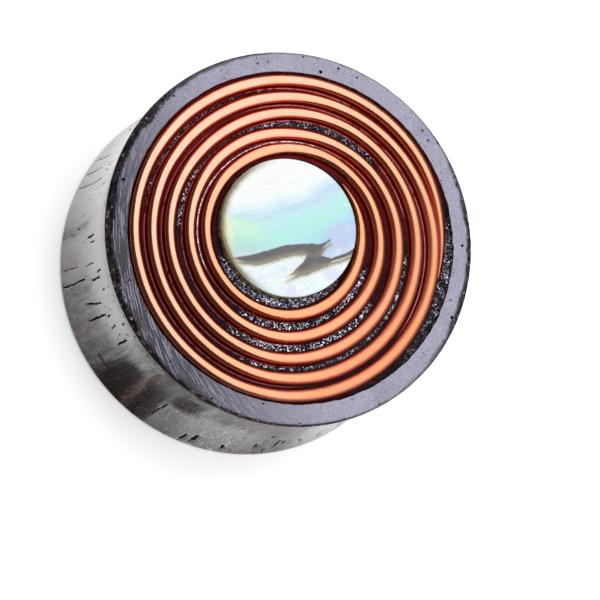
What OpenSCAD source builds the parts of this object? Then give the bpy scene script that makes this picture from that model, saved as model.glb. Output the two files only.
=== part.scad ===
// Double-flared ear gauge plug: a turned wooden saddle with a flat spiral of copper wire and a shell disc set in black
// resin in its front face. Millimetres. The origin is the middle of the back face, +Z runs along the plug's axis and out
// of the inlaid front face, so the plug lies on its back with the inlay up.

/* [Plug] */
// Gauge: the diameter of the waist, which the ear lobe sits on
gauge_d = 25; // [25:0.5:28]
// How far each flare stands out past the waist
flare_h = 0.6; // [0.5:0.1:1]
// Height of the wooden body, from the back face to the flat rim
body_h = 13.4; // [10:0.2:18]
// Rounding of the two outer edges
edge_r = 0.3; // [0.15:0.05:0.5]

/* [Recess] */
// Width of the flat rim round the recess, with its rounded edge
rim_w = 1.5; // [1.2:0.1:1.6]
// Depth of the recess below the rim
recess_h = 1.6; // [1.2:0.1:3]
// How far the hand-turned recess sits off the plug's axis, towards +Y
recess_off = 0.08; // [0:0.02:0.08]

/* [Resin] */
// Height of the rim above the resin bed that the inlay is laid on
resin_drop = 0.64; // [0.6:0.02:0.7]
// Gap left between neighbouring pieces
fit_gap = 0.02; // [0.01:0.01:0.03]

/* [Copper wire] */
// Diameter of the wire
wire_d = 0.9; // [0.8:0.05:0.9]
// Angle of the wire's outer end, from +X round towards +Y
wire_start = 42; // [40:1:60]
// Angle through which the spiral turns inwards, five turns and a bit
wire_sweep = 1860; // [1500:5:1862]
// Angle over which each end of the wire thins to a point
wire_taper = 55; // [30:5:70]

/* [Shell disc] */
// Diameter of the shell disc
shell_d = 9.7; // [8:0.1:9.7]
// How far the disc's top stands above the rim
shell_proud = 0.36; // [0.1:0.02:0.5]
// Place of the disc's middle along X, off the plug's axis
shell_x = -0.65; // [-0.8:0.05:-0.65]
// Place of the disc's middle along Y, off the plug's axis
shell_y = 0.13; // [0:0.01:0.2]
// Chamfer round the disc's top edge
shell_bevel = 0.1; // [0.05:0.01:0.2]

/* [Hidden] */
$fn = 128;

waist_r = gauge_d / 2;
flare_r = waist_r + flare_h;
recess_r = flare_r - rim_w;
recess_z = body_h - recess_h;
bed_z = body_h - resin_drop;

// The saddle is one arc from flare to flare, touching the waist radius at mid height.
saddle_h = body_h / 2 - edge_r;
saddle_r = (saddle_h * saddle_h + flare_h * flare_h) / (2 * flare_h);

// Route of the wire's middle, seen from the front: one row for each turn from the outside in, one column for each
// direction from the plug's axis, and in each cell the distance from the axis for a recess of 11.6 mm radius.
// The spiral starts north-east of the axis and closes in on the shell disc, which sits a little west of the middle.
//         east  n-east  north  n-west  west  s-west  south  s-east
route = [
    [11.00, 10.85, 11.10, 11.10, 11.00, 11.05, 11.00, 11.05],
    [10.70, 10.35, 10.15,  9.95,  9.75,  9.80,  9.75,  9.85],
    [ 9.50,  9.10,  9.00,  8.85,  8.55,  8.60,  8.50,  8.50],
    [ 8.10,  7.75,  7.60,  7.35,  7.35,  7.20,  7.05,  7.00],
    [ 6.60,  6.40,  6.35,  6.30,  6.15,  6.05,  5.75,  5.45],
    [ 5.15,  5.00,  5.35,  5.75,  5.75,  5.75,  5.75,  5.75],
];
route_scale = recess_r / 11.6;
ring_step = 9;
ring_sides = 10;

// Cell number k of the table, counted along the spiral.
function cell(k) = let (i = max(0, min(47, k))) route[floor(i / 8)][i % 8];
// Smooth curve through the cells.
function smooth(p, q, r, s, t) =
    q + 0.5 * t * (r - p + t * (2 * p - 5 * q + 4 * r - s + t * (3 * (q - r) + s - p)));
function route_r(a) = let (k = floor(a / 45), t = a / 45 - k)
    route_scale * smooth(cell(k - 1), cell(k), cell(k + 1), cell(k + 2), t);
// Share of the full wire left at angle a: thin at both ends, full between them.
function share(a) = let (d = min(a - wire_start, wire_start + wire_sweep - a) / wire_taper)
    d >= 1 ? 1 : 0.16 + 0.84 * sin(90 * max(0, d));

// Outline of half the wooden body, from the axis to the saddle.
module body_outline() {
    difference() {
        square([flare_r, body_h]);
        translate([waist_r + saddle_r, body_h / 2]) circle(saddle_r, $fn = 360);
        for (z = [0, 1]) translate([0, z * body_h]) mirror([0, z]) difference() {
            translate([flare_r - edge_r, -1]) square([edge_r + 1, edge_r + 1]);
            translate([flare_r - edge_r, edge_r]) circle(edge_r);
        }
    }
}

// The turned wooden plug: a saddle with two equal flares, and a round recess in the front face.
module wood_body() {
    color("#4d4148")
    difference() {
        rotate_extrude($fn = 256) body_outline();
        translate([0, recess_off, recess_z]) cylinder(r = recess_r, h = recess_h + 1);
    }
}

// The cast bed of black resin that fills the floor of the recess.
module resin_bed() {
    color("#141216")
    translate([0, recess_off, recess_z + fit_gap])
        cylinder(r = recess_r - fit_gap, h = bed_z - recess_z - fit_gap);
}

// The flat spiral: an oval section swept along the route just above the resin bed. Towards its two ends it thins, and
// its middle line sinks a little.
module copper_coil() {
    rings = ceil(wire_sweep / ring_step);
    points = [for (i = [0 : rings]) let (
            a = wire_start + wire_sweep * i / rings,
            w = wire_d / 2 * share(a),
            h = wire_d / 2 * (0.35 + 0.65 * share(a)),
            r = route_r(a),
            z = bed_z + fit_gap + wire_d / 2 * (0.65 + 0.35 * share(a)))
        for (j = [0 : ring_sides - 1]) let (b = 360 * j / ring_sides)
            [(r + w * cos(b)) * cos(a), (r + w * cos(b)) * sin(a), max(z, bed_z + fit_gap + h) + h * sin(b)]];
    sides = [for (i = [0 : rings - 1], j = [0 : ring_sides - 1]) let (
            p = i * ring_sides, n = (j + 1) % ring_sides)
        [p + j, p + n, p + ring_sides + n, p + ring_sides + j]];
    first = [for (j = [ring_sides - 1 : -1 : 0]) j];
    last = [for (j = [0 : ring_sides - 1]) rings * ring_sides + j];
    color("#d98a5c")
    polyhedron(points, concat([first], sides, [last]), convexity = 12);
}

// The shell disc in the middle of the spiral, standing a little proud of the wire.
module shell_disc() {
    top = body_h + shell_proud;
    color("#cfe6e2")
    translate([shell_x, shell_y, 0]) {
        translate([0, 0, bed_z + fit_gap])
            cylinder(d = shell_d, h = top - shell_bevel - bed_z - fit_gap);
        translate([0, 0, top - shell_bevel])
            cylinder(d1 = shell_d, d2 = shell_d - 2 * shell_bevel, h = shell_bevel);
    }
}

wood_body();
resin_bed();
copper_coil();
shell_disc();
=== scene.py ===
import math

import bpy
import numpy as np
from mathutils import Matrix, Vector


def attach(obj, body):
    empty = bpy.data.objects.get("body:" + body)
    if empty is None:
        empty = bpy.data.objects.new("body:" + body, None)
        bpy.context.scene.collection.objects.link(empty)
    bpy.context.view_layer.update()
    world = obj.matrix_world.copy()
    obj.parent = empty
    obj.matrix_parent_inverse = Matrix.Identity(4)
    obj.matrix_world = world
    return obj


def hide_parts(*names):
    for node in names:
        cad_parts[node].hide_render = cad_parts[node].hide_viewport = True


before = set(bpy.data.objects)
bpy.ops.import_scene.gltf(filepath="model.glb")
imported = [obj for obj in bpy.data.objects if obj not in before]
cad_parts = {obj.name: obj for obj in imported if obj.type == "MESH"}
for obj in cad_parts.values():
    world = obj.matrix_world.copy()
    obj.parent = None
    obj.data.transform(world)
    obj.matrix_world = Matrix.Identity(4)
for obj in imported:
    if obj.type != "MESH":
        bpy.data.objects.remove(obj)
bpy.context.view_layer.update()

MM = 0.001

# ---------------------------------------------------------------- sizes, in millimetres, as in the part's source
FLARE_R, WAIST_R, BODY_H, EDGE_R = 13.1, 12.5, 13.4, 0.3
RECESS_R, RECESS_OFF, RECESS_Z = 11.6, 0.08, 11.8
BED_Z = 12.76
WIRE_D, WIRE_GAP = 0.9, 0.02
WIRE_START, WIRE_SWEEP, WIRE_TAPER = 42.0, 1860.0, 55.0
SHELL_R, SHELL_X, SHELL_Y, SHELL_TOP = 4.85, -0.65, 0.13, 13.76
SADDLE_H = BODY_H / 2 - EDGE_R
SADDLE_R = (SADDLE_H ** 2 + 0.6 ** 2) / 1.2
# distance of the wire's middle from the axis: a row for each turn, a column for each eighth of it from +X towards +Y
ROUTE = np.array([
    [11.00, 10.85, 11.10, 11.10, 11.00, 11.05, 11.00, 11.05],
    [10.70, 10.35, 10.15, 9.95, 9.75, 9.80, 9.75, 9.85],
    [9.50, 9.10, 9.00, 8.85, 8.55, 8.60, 8.50, 8.50],
    [8.10, 7.75, 7.60, 7.35, 7.35, 7.20, 7.05, 7.00],
    [6.60, 6.40, 6.35, 6.30, 6.15, 6.05, 5.75, 5.45],
    [5.15, 5.00, 5.35, 5.75, 5.75, 5.75, 5.75, 5.75],
]).ravel()


def route_r(a):
    """Radius of the wire's middle at angle a, in degrees counted along the spiral."""
    k = np.floor(a / 45).astype(int)
    t = a / 45 - k
    p, q, r, s = (ROUTE[np.clip(k + j, 0, 47)] for j in (-1, 0, 1, 2))
    return q + 0.5 * t * (r - p + t * (2 * p - 5 * q + 4 * r - s + t * (3 * (q - r) + s - p)))


# ---------------------------------------------------------------- noise
def noise3(p, seed=0):
    """Smooth value noise from -1 to 1 at the points p, one unit a cell."""
    p = np.asarray(p, float)
    i = np.floor(p).astype(np.int64)
    f = p - i
    f = f * f * (3 - 2 * f)
    out = np.zeros(p.shape[:-1])
    for dx in (0, 1):
        for dy in (0, 1):
            for dz in (0, 1):
                h = ((i[..., 0] + dx) * 374761393 + (i[..., 1] + dy) * 668265263
                     + (i[..., 2] + dz) * 2147483647 + seed * 1274126177) & 0xFFFFFFFF
                h = ((h ^ (h >> 13)) * 1274126177) & 0xFFFFFFFF
                h = (h ^ (h >> 16)) & 0xFFFF
                w = (f[..., 0] if dx else 1 - f[..., 0]) * (f[..., 1] if dy else 1 - f[..., 1]) * (f[..., 2] if dz else 1 - f[..., 2])
                out += w * (h / 32767.5 - 1)
    return out


def fbm(p, octaves=3, seed=0, gain=0.5):
    p = np.asarray(p, float)
    total, amp, out = 0.0, 1.0, 0.0
    for o in range(octaves):
        out = out + amp * noise3(p * 2 ** o + 17.3 * o, seed + o)
        total += amp
        amp *= gain
    return out / total


def smoothstep(x, lo, hi):
    t = np.clip((x - lo) / (hi - lo), 0, 1)
    return t * t * (3 - 2 * t)


# ---------------------------------------------------------------- mesh helper
def grid_object(name, pts, close_u=True, close_v=False, cap_start=None, cap_end=None, attrs=None, flip=False):
    """A mesh from a grid of points, rows along v and columns along u. A cap is the point that closes an end row. flip
    turns the faces round, for a grid whose faces would look inwards."""
    nv, nu, _ = pts.shape
    verts = pts.reshape(-1, 3)
    j = np.arange(nu if close_u else nu - 1)
    j2 = (j + 1) % nu
    rows = np.arange(nv if close_v else nv - 1)
    faces = []
    for r in rows:
        r2 = (r + 1) % nv
        faces.append(np.stack([r * nu + j, r * nu + j2, r2 * nu + j2, r2 * nu + j], 1))
    quads = np.concatenate(faces)
    tris = []
    extra = []
    n = len(verts)
    if cap_start is not None:
        extra.append(cap_start)
        c = n + len(extra) - 1
        tris.append(np.stack([np.full(len(j), c), j2, j], 1))
    if cap_end is not None:
        extra.append(cap_end)
        c = n + len(extra) - 1
        b = (nv - 1) * nu
        tris.append(np.stack([np.full(len(j), c), b + j, b + j2], 1))
    if flip:
        quads, tris = quads[:, ::-1], [t[:, ::-1] for t in tris]
    if extra:
        verts = np.concatenate([verts, np.array(extra, float)])
    mesh = bpy.data.meshes.new(name)
    nq, nt = len(quads), sum(len(t) for t in tris)
    loops = np.concatenate([quads.ravel()] + [t.ravel() for t in tris]).astype(np.int32)
    starts = np.concatenate([np.arange(nq) * 4, nq * 4 + np.arange(nt) * 3]).astype(np.int32)
    mesh.vertices.add(len(verts))
    mesh.vertices.foreach_set("co", (verts * MM).astype(np.float32).ravel())
    mesh.loops.add(len(loops))
    mesh.loops.foreach_set("vertex_index", loops)
    mesh.polygons.add(nq + nt)
    mesh.polygons.foreach_set("loop_start", starts)
    mesh.update(calc_edges=True)
    mesh.validate()
    mesh.polygons.foreach_set("use_smooth", [True] * len(mesh.polygons))
    for key, val in (attrs or {}).items():
        v = np.asarray(val, float).reshape(-1)
        v = np.concatenate([v, np.full(len(verts) - len(v), v[-1])]) if len(v) < len(verts) else v
        a = mesh.attributes.new(key, "FLOAT", "POINT")
        a.data.foreach_set("value", v.astype(np.float32))
    obj = bpy.data.objects.new(name, mesh)
    bpy.context.scene.collection.objects.link(obj)
    return obj


# ---------------------------------------------------------------- camera, at the photograph's angle to the face
EL, ROLL, DIST, AX, AY, F_PX = 1.22048, 0.97487, 289.844, 0.00207, 0.01478, 4229.13


def make_camera():
    fwd = np.array([0, math.cos(EL), -math.sin(EL)])
    up0 = np.array([0, math.sin(EL), math.cos(EL)])
    right0 = np.array([1.0, 0, 0])
    c, s = math.cos(ROLL), math.sin(ROLL)
    right, up = c * right0 + s * up0, -s * right0 + c * up0
    rows = np.stack([right, up, -fwd])
    ca, sa, cb, sb = math.cos(AX), math.sin(AX), math.cos(AY), math.sin(AY)
    ry = np.array([[ca, 0, sa], [0, 1, 0], [-sa, 0, ca]])
    rx = np.array([[1, 0, 0], [0, cb, -sb], [0, sb, cb]])
    rot = (ry @ rx @ rows).T
    pos = (np.array([0, 0, BODY_H]) - fwd * DIST) * MM
    cam = bpy.data.cameras.new("camera")
    cam.sensor_width = 36
    cam.lens = F_PX / 600 * 36
    cam.clip_start, cam.clip_end = 0.005, 50
    obj = bpy.data.objects.new("camera", cam)
    m = Matrix.Identity(4)
    for i in range(3):
        for k in range(3):
            m[i][k] = rot[i][k]
        m[i][3] = pos[i]
    obj.matrix_world = m
    bpy.context.scene.collection.objects.link(obj)
    bpy.context.scene.camera = obj


make_camera()


# ---------------------------------------------------------------- wooden body
# Open pores in the side, charted round the plug: angle, top and bottom in mm above the back face, lean in degrees of
# angle from top to bottom, width in mm, depth in mm.
SIDE_PORES = [
    # angle, top, bottom, lean, width, depth
    (198.6, 3.5, 0.7, 1.1, 0.08, 0.04), (204.0, 3.5, 0.6, 1.2, 0.08, 0.04), (209.8, 5.5, 0.6, 0.5, 0.08, 0.04),
    (205.5, 6.0, 5.2, -1.1, 0.10, 0.04), (207.0, 6.1, 5.3, 0.0, 0.08, 0.03), (213.0, 7.5, 6.4, 0.6, 0.10, 0.04),
    (217.0, 7.5, 6.9, 0.2, 0.09, 0.03), (226.6, 3.9, 3.0, -1.1, 0.08, 0.03), (231.2, 7.6, 5.6, -0.6, 0.14, 0.06),
    (233.5, 7.9, 6.5, -0.4, 0.10, 0.04), (240.0, 7.5, 5.2, -0.4, 0.09, 0.05), (238.2, 3.7, 0.7, -0.8, 0.07, 0.03),
    (243.9, 9.3, 7.9, -0.2, 0.12, 0.05), (245.6, 8.5, 6.0, -0.6, 0.15, 0.08), (243.3, 4.7, 0.35, -1.0, 0.14, 0.08),
    (249.9, 9.2, 8.3, 0.1, 0.12, 0.05), (250.5, 10.7, 10.1, -0.2, 0.10, 0.04), (253.4, 7.1, 3.7, -3.0, 0.13, 0.07),
    (258.1, 8.1, 7.2, 0.4, 0.13, 0.06), (257.2, 7.2, 3.2, -1.4, 0.15, 0.09), (252.8, 1.3, 0.6, -0.9, 0.10, 0.05),
    (261.6, 8.3, 7.0, 0.6, 0.15, 0.07), (264.8, 8.3, 7.9, 0.1, 0.12, 0.05), (267.4, 9.0, 6.4, 0.1, 0.14, 0.08),
    (263.2, 11.0, 10.0, -0.1, 0.16, 0.06), (266.3, 10.2, 9.7, 0.2, 0.15, 0.06), (261.3, 12.5, 11.7, 0.1, 0.10, 0.04),
    (268.1, 12.4, 11.5, 0.1, 0.12, 0.05), (275.0, 12.4, 11.2, 0.2, 0.10, 0.04), (278.5, 12.0, 11.3, 0.1, 0.10, 0.04),
    (292.4, 5.6, 2.0, -0.8, 0.12, 0.06), (309.0, 12.9, 11.4, 0.8, 0.12, 0.05), (308.1, 2.4, 1.0, -0.7, 0.30, 0.12),
    (304.8, 2.0, 0.6, -0.5, 0.19, 0.09), (307.0, 1.1, 0.6, 0.0, 0.10, 0.04), (317.3, 1.8, 0.9, -0.1, 0.24, 0.10),
    (322.0, 1.1, 0.7, 0.1, 0.13, 0.05), (321.3, 4.6, 4.1, -0.1, 0.13, 0.05), (317.5, 4.0, 3.5, 0.0, 0.11, 0.04),
    (327.3, 2.7, 1.8, -0.2, 0.17, 0.08), (334.4, 3.4, 1.7, -0.6, 0.15, 0.06), (336.0, 2.9, 2.2, 0.2, 0.13, 0.05),
    (330.7, 1.4, 0.9, 0.0, 0.15, 0.06), (342.3, 2.4, 1.7, 0.2, 0.20, 0.09), (329.8, 5.1, 4.3, 0.2, 0.13, 0.05),
]


def wood_body():
    rng = np.random.default_rng(41)
    # finer columns from 180 to 345 degrees
    t = np.radians(np.concatenate([np.arange(178, 346, 0.3), np.arange(346, 538, 0.565)]) % 360)
    t = np.sort(t)
    nu = len(t)
    flat = FLARE_R - EDGE_R
    lip = 0.05
    prof = []  # r, z, normal r, normal z, share of the recess offset, kind
    for r in (3.0, 7.0, 10.5, 12.2, flat - 0.1):
        prof.append((r, 0.0, 0, -1, 0, 0))
    for a in np.radians(np.linspace(-85, -8, 6)):
        prof.append((flat + EDGE_R * math.cos(a), EDGE_R + EDGE_R * math.sin(a), math.cos(a), math.sin(a), 0, 1))
    for z in np.linspace(EDGE_R, BODY_H - EDGE_R, 64):
        q = math.sqrt(SADDLE_R ** 2 - (z - BODY_H / 2) ** 2)
        prof.append((WAIST_R + SADDLE_R - q, z, q / SADDLE_R, -(z - BODY_H / 2) / SADDLE_R, 0, 2))
    for a in np.radians(np.linspace(10, 90, 8)):
        prof.append((flat + EDGE_R * math.cos(a), BODY_H - EDGE_R + EDGE_R * math.sin(a), math.cos(a), math.sin(a), 0, 3))
    for s in np.linspace(0, 1, 16)[1:]:
        prof.append((flat + (RECESS_R + lip - flat) * s, BODY_H, 0, 1, s, 4))
    for a in np.radians([35, 75]):
        prof.append((RECESS_R + lip - lip * math.sin(a), BODY_H - lip + lip * math.cos(a), -math.sin(a), math.cos(a), 1, 5))
    for z in (BODY_H - 0.12, BODY_H - 0.3, BODY_H - 0.6, RECESS_Z):
        prof.append((RECESS_R, z, -1, 0, 1, 6))
    for r in (8.0, 3.0):
        prof.append((r, RECESS_Z, 0, 1, 1, 7))
    prof = np.array(prof)
    R, Z, NR, NZ, S, K = (np.repeat(prof[:, i][:, None], nu, 1) for i in range(6))
    T = np.repeat(t[None], len(prof), 0)
    deg = np.degrees(T)
    sunk = np.zeros(R.shape)
    pore = np.zeros(R.shape)

    # side pores: the charted ones, and others like them where the chart has none
    marks = list(SIDE_PORES)
    while len(marks) < 150:
        a = rng.uniform(-12, 193)
        top = rng.uniform(1.0, 12.9)
        size = rng.uniform(0, 1) ** 2
        marks.append((a, top, max(0.35, top - 0.4 - 2.6 * size * rng.uniform(0.6, 1.2)), rng.normal(-0.3, 0.6),
                      0.08 + 0.09 * rng.uniform(), 0.03 + 0.05 * rng.uniform()))
    side = (K == 2) | (K == 1) | (K == 3)
    rs, zs, ds = R[side], Z[side], deg[side]
    cut, dark = np.zeros(rs.shape), np.zeros(rs.shape)
    for i, (a, top, bottom, lean, width, depth) in enumerate(marks):
        u = (ds - a + 180) % 360 - 180
        near = (np.abs(u) < 5) & (zs < top + 0.5) & (zs > bottom - 0.5)
        zz = zs[near]
        along = (top - zz) / (top - bottom)
        wave = 0.05 * noise3(np.stack([zz * 2.2, 0 * zz + i * 7.3, 0 * zz], -1), 3)
        x = np.radians(u[near] - lean * along) * rs[near] + wave
        ends = smoothstep(np.minimum(along, 1 - along) * (top - bottom), -0.12, 0.16)
        rough = 0.94 + 0.10 * noise3(np.stack([zz * 5, 0 * zz + i * 3.1, 0 * zz], -1), 8)
        cut[near] = np.maximum(cut[near], depth * np.exp(-(x / (0.7 * width)) ** 2) * ends)
        dark[near] = np.maximum(dark[near], np.clip(1 - np.abs(x) / (2.5 * width), 0, 1) * (0.25 + 0.75 * ends) * rough)
    sunk[side] += cut
    pore[side] = dark

    # rim: round end-grain pores
    top_face = (K == 4) | (K == 3)
    rf, df = R[top_face], deg[top_face]
    xf, yf = rf * np.cos(np.radians(df)), rf * np.sin(np.radians(df))
    cut, dark = np.zeros(rf.shape), np.zeros(rf.shape)
    for i in range(130):
        a, r0 = rng.uniform(0, 2 * math.pi), rng.uniform(11.75, 13.0)
        w = 0.05 + 0.07 * rng.uniform() ** 2
        d2 = (xf - r0 * math.cos(a)) ** 2 + (yf - r0 * math.sin(a)) ** 2
        cut = np.maximum(cut, 0.06 * np.exp(-d2 / (w * w)))
        dark = np.maximum(dark, np.clip(1 - np.sqrt(d2) / (5.0 * w * rng.uniform(0.5, 1)), 0, 1))
    sunk[top_face] += cut
    pore[top_face] = np.maximum(pore[top_face], dark)

    # broad figure of the wood on the side: dark heart, rusty and speckled stretches, pale stretches with a painted
    # sheen, and dull stretches darkened by painted shade
    p3 = np.stack([R * np.cos(T), R * np.sin(T), Z], -1)
    here = deg + 2.0 * fbm(p3 * np.array([0.3, 0.3, 0.25]), 3, 71)
    strand = fbm(p3 * np.array([2.6, 2.6, 0.16]), 3, 75)

    def lobe(middle, half, soft):
        return smoothstep(half + soft - np.abs((here - middle + 180) % 360 - 180), 0, 2 * soft)

    heart = np.maximum.reduce([
        lobe(277, np.interp(Z, [0, 3, 6, 8, 9.5], [7.5, 7.0, 5.5, 3, 1]), 5.5) * smoothstep(-Z, -10.0, -5.5),
        lobe(288, np.interp(Z, [0, 4, 7, 9, 11, 13.4], [4.5, 4.5, 6.0, 6.5, 6.5, 4.0]), 4.0),
        lobe(295, 5.0, 4) * smoothstep(Z, 5.2, 6.8) * smoothstep(-Z, -12, -9),
        lobe(296, 2.5, 2) * smoothstep(Z, 11.2, 12.2) * 0.9,
        lobe(226, 2.2, 3) * smoothstep(-Z, -7.5, -5.0) * 0.55,
        lobe(20, 6, 5) * 0.8, lobe(74, 3, 4) * smoothstep(-Z, -11, -6), lobe(118, 8, 6) * 0.8 * smoothstep(-Z, -10, -4),
        lobe(158, 3, 4) * 0.7])
    heart = np.clip(heart + 0.20 * strand, 0, 1)
    rust = np.maximum.reduce([
        lobe(282.5, 1.6, 1.5) * smoothstep(-Z, -11.5, -7.5), lobe(287, 2, 2) * smoothstep(Z, 8.5, 11) * 0.5,
        lobe(235.5, 3.5, 3) * smoothstep(-Z, -7.0, -4.5) * 0.5, lobe(50, 9, 6) * 0.7, lobe(96, 5, 5) * 0.8, lobe(140, 8, 6) * 0.6])
    rust *= smoothstep(strand, -0.45, 0.25)
    # pale stretches: glossier, and tinted greenish-grey, a painted sheen
    pale = np.maximum(lobe(200, 22, 8), 0.5 * lobe(250, 26, 9))
    smooth_part = lobe(236, 48, 8)
    # a grey-lilac cast over the upper half, which ends in streaks: painted sheen, the floor's reflection laid into the
    # colour; and fine pale dashes of grain, partly painted glints
    lilac_painted_sheen = (1 - 0.85 * smooth_part) * smoothstep(Z + 2.2 * strand + fbm(p3 * 0.35, 2, 79), 5.6, 8.4)
    lilac_painted_sheen *= (1 - 0.6 * smoothstep(Z + 1.2 * strand, 11.9, 13.2)) * (1 - 0.6 * lobe(320, 22, 14))
    # the lower half darker: painted shade
    lower_painted_shade = (1 - 0.95 * smooth_part) * smoothstep(-Z - 2.2 * strand - fbm(p3 * 0.35, 2, 79), -8.6, -5.0)
    silver = lobe(311, 13, 10) * smoothstep(-Z - 1.5 * strand, -8.4, -5.0)
    speck = np.maximum(0.55 * (1 - 0.8 * smooth_part), 0.85 * silver)
    # dim stretches: painted shade darkens the colour there, also under the top edge near 218 degrees, and their gloss
    # is lowered
    dim = np.maximum.reduce([
        lobe(321, 23, 13) * np.interp(Z, [0, 4, 7, 13.4], [0.70, 0.75, 0.95, 1.0]) * (1 - 0.55 * silver),
        lobe(279, 13, 9) * (0.70 + 0.25 * smoothstep(-Z, -9.0, -5.5)),
        lobe(266, 9, 8) * 0.75 * smoothstep(-Z, -8.8, -4.5),
        lobe(297, 6, 5) * (0.50 + 0.50 * smoothstep(Z, 5.0, 6.6)),
        lobe(218, 12, 8) * 0.6 * smoothstep(Z, 9.6, 11.2),
        lobe(255, 16, 9) * 0.6 * smoothstep(-Z, -8.0, -4.5),
        lobe(227, 3, 4) * 0.4 * smoothstep(-Z, -7.0, -4.5),
        lobe(237, 5, 5) * 0.4 * smoothstep(-Z, -6.0, -3.5),
        lobe(210, 30, 6) * 0.12])

    # rubbed outer edge: small nicks all round, more of them between 180 and 300 degrees; and a dark stretch along the
    # rounded edge, painted shade, heavier on some stretches
    edge = (K == 3) | ((K == 4) & (R > 12.6))
    wear = np.exp(-((R - 12.98) / 0.18) ** 2) * edge
    span = [0, 10, 30, 62, 88, 105, 145, 160, 182, 200, 245, 262, 280, 302, 325, 350, 360]
    edge_shade_amount = np.interp(deg, span, [.2, .4, .95, 1, .65, .3, .3, .6, .85, 1, 1, 1, .9, .4, .22, .15, .2])
    inset = np.interp(deg, span, [.2, .25, .40, .42, .26, .1, .12, .26, .40, .52, .54, .38, .22, .18, .14, .16, .2])
    fray = 0.45 * fbm(p3 * 1.1, 2, 77) + 0.22 * fbm(p3 * 4.5, 2, 78)
    edge_painted_shade = edge_shade_amount * smoothstep(R + inset * (1 + fray), 12.99, 13.19) * (Z > 12.9) * ((K == 3) | (K == 4))
    edge_painted_shade[(K == 2) & (Z > 13.0)] = edge_shade_amount[(K == 2) & (Z > 13.0)] * 0.8
    n1 = fbm(p3 * 3.0, 3, 11)
    left = smoothstep(np.cos(T - math.radians(238)), 0.1, 0.8)
    sunk += wear * (0.02 * n1 + (0.03 + 0.05 * left) * smoothstep(n1, 0.22, 0.5))
    nick = wear * smoothstep(n1, 0.26 - 0.06 * left, 0.5)

    # ragged inner edge of the rim
    inner = (K == 5) | (K == 6) | ((K == 4) & (S > 0.9))
    rag = fbm(np.stack([T * 11.6 * 2.2, 0 * T, Z * 0.8], -1), 3, 23)
    rag += np.where((deg < 0.3) | (deg > 359.7), 0, 0)
    seam = np.minimum(deg, 360 - deg)
    rag *= smoothstep(seam, 0, 3)
    deep = smoothstep(np.cos(T - math.radians(25)), 0.35, 0.9)
    rr = R + np.where(inner, np.clip(0.02 + (0.035 + 0.05 * deep) * rag, -0.0, 0.12) * np.where(K == 4, 0.8, 1.0) * (Z > 12.6), 0)

    # a hand-sanded surface is a hair uneven
    uneven = 0.008 * fbm(p3 * np.array([0.5, 0.5, 0.35]), 2, 31) * ((K == 2) | (K == 4))
    sunk = sunk - uneven * (K == 4) + np.abs(uneven) * (K == 2)
    r2 = rr - NR * sunk
    z2 = np.clip(Z - NZ * sunk, 0, None)
    x = r2 * np.cos(T)
    y = r2 * np.sin(T) + RECESS_OFF * S
    z2 = np.where(K == 0, 0.0, z2)
    return grid_object("wood_plug", np.stack([x, y, z2], -1), cap_start=(0, 0, 0), cap_end=(0, RECESS_OFF, RECESS_Z),
                       attrs={"pore": np.clip(pore, 0, 1), "nick": np.clip(nick, 0, 1), "heart": heart, "rust": rust,
                              "pale": pale, "speck": speck, "dim": dim, "edge_painted_shade": edge_painted_shade, "lilac_painted_sheen": lilac_painted_sheen,
                              "lower_painted_shade": lower_painted_shade, "silver": silver})


# ---------------------------------------------------------------- copper spiral
def wire_section(a):
    """Half width, half height and height of the middle of the wire at angle a."""
    d = np.minimum(a - WIRE_START, WIRE_START + WIRE_SWEEP - a) / WIRE_TAPER
    share = np.where(d >= 1, 1, 0.16 + 0.84 * np.sin(np.radians(90 * np.clip(d, 0, 1))))
    w = WIRE_D / 2 * share
    h = WIRE_D / 2 * (0.35 + 0.65 * share)
    return w, h, BED_Z + WIRE_GAP + np.maximum(WIRE_D / 2 * (0.65 + 0.35 * share), h)


def copper():
    n, m = 1550, 32
    a = WIRE_START + WIRE_SWEEP * np.arange(n + 1) / n
    w, h, zc = wire_section(a)
    r = route_r(a)
    run = np.concatenate([[0], np.cumsum(np.hypot(np.diff(r * np.cos(np.radians(a))), np.diff(r * np.sin(np.radians(a)))))])
    b = np.arange(m) * 2 * math.pi / m
    wob = 1 + 0.018 * noise3(np.stack([run * 0.35, 0 * run, 0 * run], -1), 51) + 0.008 * noise3(np.stack([run * 1.3, 0 * run + 5, 0 * run], -1), 52)
    side_w = 0.012 * noise3(np.stack([run * 0.5, 0 * run + 9, 0 * run], -1), 53)
    ar = np.radians(a)[:, None]
    rr = (r + side_w)[:, None] + (w * wob)[:, None] * np.cos(b)[None]
    zz = zc[:, None] + (h * np.minimum(wob, 1))[:, None] * np.sin(b)[None]
    pts = np.stack([rr * np.cos(ar), rr * np.sin(ar), zz], -1)
    first, last = pts[0].mean(0), pts[-1].mean(0)
    shape = zz.shape
    return grid_object("copper_spiral", pts, cap_start=first, cap_end=last, flip=True, attrs={
        "run": np.broadcast_to(run[:, None], shape), "round": np.broadcast_to(b[None], shape)})


# ---------------------------------------------------------------- resin
# Stretches of the groove where the resin stands high and lumpy and shows: start and end angle of the wire outside it,
# counted along the spiral, and how strongly.
LUMPS = [
    (146, 228, 0.54), (655, 775, 0.6), (812, 958, 0.6), (1008, 1100, 0.85), (1365, 1478, 0.8), (1690, 1818, 1.0),
]


# Stretches where a raised line of resin runs along the outer foot of the inner wire, in the same angles; its bright
# colour is a painted highlight.
LINES = [(1168, 1342), (1440, 1462), (1022, 1052)]


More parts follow.
